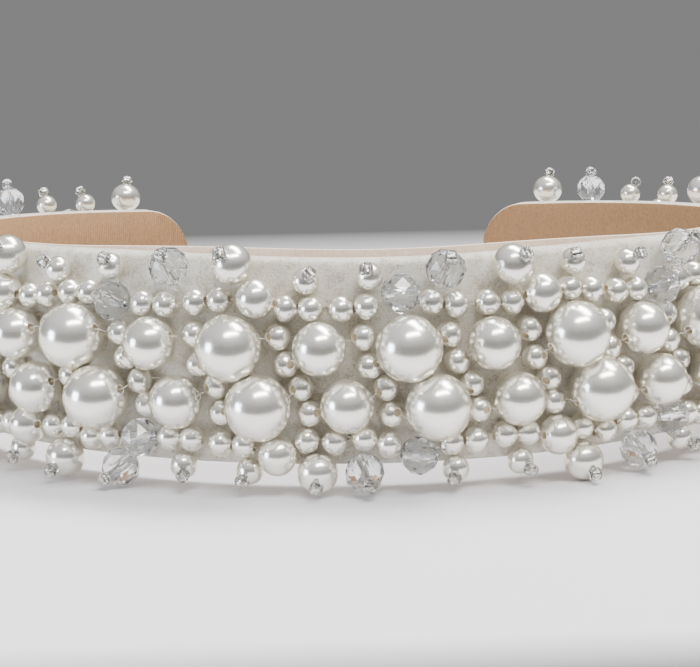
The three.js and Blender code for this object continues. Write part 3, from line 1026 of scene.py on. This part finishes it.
def quarter(centre, radius, start):
    """Points on a quarter circle in (height, depth), from the start angle."""
    height, depth = centre
    points = []
    for i in range(EDGE_STEPS + 1):
        turn = start + math.pi / 2 * i / EDGE_STEPS
        points.append((height + radius * math.cos(turn), depth - radius * math.sin(turn)))
    return points


def velvet_section(along):
    bottom = BAND_BOTTOM + corner_cut(along)
    top = top_at(along) - corner_cut(along)
    hem = min(HEM_WIDTH, (top - bottom) / 4)
    r = EDGE_ROUND
    face = [(h, 0) for h in spread(top - r, bottom + r, VELVET_FACE_STEPS)[1:-1]]
    outline = quarter((top - r, r), r, 0) + face
    outline += quarter((bottom + r, r), r, math.pi / 2)
    outline += quarter((bottom + r, HEM_TO - r), r, math.pi)
    outline += [(bottom + hem, HEM_TO), (bottom + hem, HEM_FROM), (bottom + VELVET, HEM_FROM)]
    outline += [(bottom + VELVET, VELVET), (top - VELVET, VELVET), (top - VELVET, HEM_FROM)]
    outline += [(top - hem, HEM_FROM), (top - hem, HEM_TO)]
    outline += quarter((top - r, HEM_TO - r), r, math.pi * 1.5)
    keep = tip_depth(along)
    middle = HEM_TO / 2
    return [(h, middle + (d - middle) * keep) for h, d in outline]


WAVE_HEIGHT = 0.07
WAVE_SUNK = 0.05
WAVE_ALONG = 0.52
WAVE_UP = 0.55
WAVE_BEND = 0.4
WAVE_LEAN = 0.13


def velvet_relief(along, height, depth):
    """Soft waves in the cloth where the sewing draws it in."""
    if depth > EDGE_ROUND:
        return 0
    wave = math.sin(along * WAVE_ALONG + math.sin(height * WAVE_BEND))
    return WAVE_HEIGHT * (wave * math.sin(height * WAVE_UP + along * WAVE_LEAN)) - WAVE_SUNK


RIB_PITCH = 0.5
RIB_HEIGHT = 0.07
RIB_BACK_SHARE = 0.4
SAMPLES_PER_RIB = 4
RIBBON_CHAMFER = 0.08
RIBBON_BEVEL = 0.15
RIBBON_FACE_STEPS = 4
# The stretches listed below take the paler copy of the ribbon, with painted light. The inner face takes the
# darker copy, with painted shade.
LIT_RIBBON_EDGES = (0, 1, 2, 3, 8)  # the outline's stretches outside the ribbon's inner face


def ribbon_over_top(along):
    """How far the ribbon stands over the velvet's upper edge, which is along the crown only."""
    return RIBBON_OVER_TOP * (1 - smooth_step(RIBBON_PROUD_TO, RIBBON_LEVEL_BY, abs(along)))


def ribbon_section(along):
    bottom = BAND_BOTTOM + corner_cut(along) - RIBBON_OVER_BOTTOM
    top = top_at(along) - corner_cut(along) + ribbon_over_top(along)
    edge = (RIBBON_TO - RIBBON_FROM) / 2
    outline = [(top, RIBBON_FROM + edge), (top - RIBBON_CHAMFER, RIBBON_FROM)]
    outline += [(bottom + RIBBON_CHAMFER, RIBBON_FROM), (bottom, RIBBON_FROM + edge)]
    face = spread(bottom + RIBBON_BEVEL, top - RIBBON_BEVEL, RIBBON_FACE_STEPS)
    return outline + [(h, RIBBON_TO) for h in face]


def ribbon_relief(along, height, depth):
    """The ribs: full height on the ribbon's inner face and edges, lower on its back."""
    ridge = RIB_HEIGHT * math.cos(2 * math.pi * along / RIB_PITCH)
    return -ridge if depth > RIBBON_FROM else ridge * RIB_BACK_SHARE


def layer_section(low, high, near, far):
    def section(along):
        bottom = BAND_BOTTOM + corner_cut(along) + low
        top = top_at(along) - corner_cut(along) - high
        return [(top, near), (bottom, near), (bottom, far), (top, far)]
    return section


# Where the turned-under ribbon end lies, and the steps and insets of the core and the tip's end wall, in
# millimetres.
RIBBON_FOLD_FROM = TIP - 22
RIBBON_FOLD_TO = TIP - 10
FOLD_STEP = 2
CORE_STEP = 3
WALL_INSET = 0.05
WALL_TO = TIP - 0.1


def make_band():
    """Both halves of the cover, lining, core and turned-under ribbon end."""
    end_wall = layer_section(WALL_INSET, WALL_INSET, WALL_INSET, HEM_TO - WALL_INSET)
    core_section = layer_section(CORE_FROM, CORE_FROM, CORE_FROM, CORE_TO)
    core_stretches = [(0, TIP - VELVET - LAYER_GAP, CORE_STEP, core_section)]
    inset = HEM_WIDTH + LAYER_GAP
    fold_section = layer_section(inset, inset, HEM_FROM, HEM_TO)
    rib_step = RIB_PITCH / SAMPLES_PER_RIB
    for side in ("left", "right"):
        velvet_stretches = [(0, TIP, VELVET_STEP, velvet_section, velvet_relief),
                            (TIP - VELVET, WALL_TO, VELVET, end_wall)]
        velvet = band_piece(f"velvet_{side}", velvet_stretches, side, [VELVET_CLOTH])
        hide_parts(f"velvet_cover_{side}", "velvet_cover_crown")
        # The ribbon's inner face and the turned-under end take the copy with painted shade. Its edges and
        # back take the copy with painted light.
        ribbon_stretches = [(0, TIP - LAYER_GAP, rib_step, ribbon_section, ribbon_relief, LIT_RIBBON_EDGES)]
        ribbon = band_piece(f"ribbon_{side}", ribbon_stretches, side, [SHADED_RIBBON_CLOTH, LIT_SELVEDGE])
        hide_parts(f"ribbon_lining_{side}", "ribbon_lining_crown")
        core = band_piece(f"core_{side}", core_stretches, side, [PLASTIC])
        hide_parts(f"core_strip_{side}", "core_strip_crown")
        fold_stretches = [(RIBBON_FOLD_FROM, RIBBON_FOLD_TO, FOLD_STEP, fold_section)]
        fold = band_piece(f"ribbon_end_{side}", fold_stretches, side, [SHADED_RIBBON_CLOTH])
        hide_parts(f"ribbon_fold_{side}")


# ---- Stage, light and camera ----

def make_floor():
    """The table's top, at the level where the lowest beads touch it."""
    back = ORIGIN.y + TABLE_BACK
    front = ORIGIN.y + TABLE_FRONT
    level = ORIGIN.z + STAND_GAP * MM
    corners = [(-TABLE_REACH, front, level), (TABLE_REACH, front, level),
               (TABLE_REACH, back, level), (-TABLE_REACH, back, level)]
    mesh = bpy.data.meshes.new("floor")
    mesh.from_pydata(corners, [], [(0, 1, 2, 3)])
    mesh.materials.append(floor_material())
    floor = bpy.data.objects.new("floor", mesh)
    bpy.context.scene.collection.objects.link(floor)


def area_light(name, place, target, size, power, colour):
    light = bpy.data.lights.new(name, "AREA")
    light.shape = "RECTANGLE"
    light.size, light.size_y = size
    light.energy = power
    light.color = colour
    holder = bpy.data.objects.new(name, light)
    holder.location = place
    holder.rotation_euler = (Vector(target) - Vector(place)).to_track_quat("-Z", "Y").to_euler()
    bpy.context.scene.collection.objects.link(holder)


def make_light():
    """Two lights from the front and a broad one from above, all aimed at the crown's beads."""
    target = ORIGIN + Vector((0, -0.07, 0.02))
    cool = (0.77, 0.86, 1.0)
    plain = (1.0, 0.99, 0.97)
    area_light("near_strip", ORIGIN + Vector((0.20, -0.58, 0.92)), target, (0.8, 0.13), 11, plain)
    area_light("window", ORIGIN + Vector((-1.20, -0.46, 0.15)), target, (0.42, 0.46), 11, cool)
    area_light("top", ORIGIN + Vector((0.28, 0.20, 1.03)), target, (1.0, 0.34), 23, (1.0, 1.0, 1.0))
    make_room()


# The room's colour by height, from the table's level up: towards the viewer, and behind the band.
ROOM_NEAR = [(0.50, (0.08, 0.07, 0.06)), (0.60, (0.09, 0.08, 0.07)), (0.71, (0.38, 0.38, 0.39)),
             (0.84, (0.68, 0.68, 0.70)), (1.0, (0.76, 0.76, 0.78))]
ROOM_FAR = [(0.60, (0.235, 0.232, 0.232)), (0.78, (0.52, 0.52, 0.53)), (1.0, (0.76, 0.76, 0.77))]


def make_room():
    """A plain grey room that is darker towards the viewer and lighter overhead."""
    world = bpy.data.worlds.new("room")
    world.use_nodes = True
    nodes = world.node_tree.nodes
    links = world.node_tree.links
    direction = nodes.new("ShaderNodeTexCoord")
    split = nodes.new("ShaderNodeSeparateXYZ")
    links.new(direction.outputs["Generated"], split.inputs[0])
    height = map_range(nodes, links, split.outputs["Z"], -1, 1)
    behind = map_range(nodes, links, split.outputs["Y"], -0.6, 0.3)
    mix = nodes.new("ShaderNodeMix")
    mix.data_type = "RGBA"
    links.new(behind, mix.inputs["Factor"])
    links.new(colour_ramp(nodes, links, height, ROOM_NEAR), mix.inputs[6])
    links.new(colour_ramp(nodes, links, height, ROOM_FAR), mix.inputs[7])
    links.new(mix.outputs[2], nodes["Background"].inputs["Color"])
    bpy.context.scene.world = world


CAMERA_PLACE = Vector((-19.65, -348.5, 69.5))
CAMERA_LENS = 98.7
SENSOR_WIDTH = 36
CLIP_START = 0.01
CAMERA_YAW = math.radians(3.21)
CAMERA_PITCH = math.radians(9.51)
CAMERA_ROLL = math.radians(-0.84)


def make_camera():
    ahead = Vector((math.sin(CAMERA_YAW) * math.cos(CAMERA_PITCH),
                    math.cos(CAMERA_YAW) * math.cos(CAMERA_PITCH), -math.sin(CAMERA_PITCH)))
    level = Vector((math.cos(CAMERA_YAW), -math.sin(CAMERA_YAW), 0))
    upright = level.cross(ahead)
    right = level * math.cos(CAMERA_ROLL) + upright * math.sin(CAMERA_ROLL)
    up = upright * math.cos(CAMERA_ROLL) - level * math.sin(CAMERA_ROLL)
    data = bpy.data.cameras.new("camera")
    data.lens = CAMERA_LENS
    data.sensor_width = SENSOR_WIDTH
    data.sensor_fit = "HORIZONTAL"
    data.clip_start = CLIP_START
    camera = bpy.data.objects.new("camera", data)
    turn = Matrix((right, up, -ahead)).transposed().to_4x4()
    camera.matrix_world = Matrix.Translation(ORIGIN + CAMERA_PLACE * MM) @ turn
    bpy.context.scene.collection.objects.link(camera)
    bpy.context.scene.camera = camera


make_camera()
make_light()
make_floor()
make_band()
make_clusters()
make_swags("upper_swags", upper_swags)
make_swags("lower_swags", lower_swags)
loops = make_stacks("top_stacks", top_stacks) + make_stacks("bottom_stacks", bottom_stacks)
make_threads(loops)
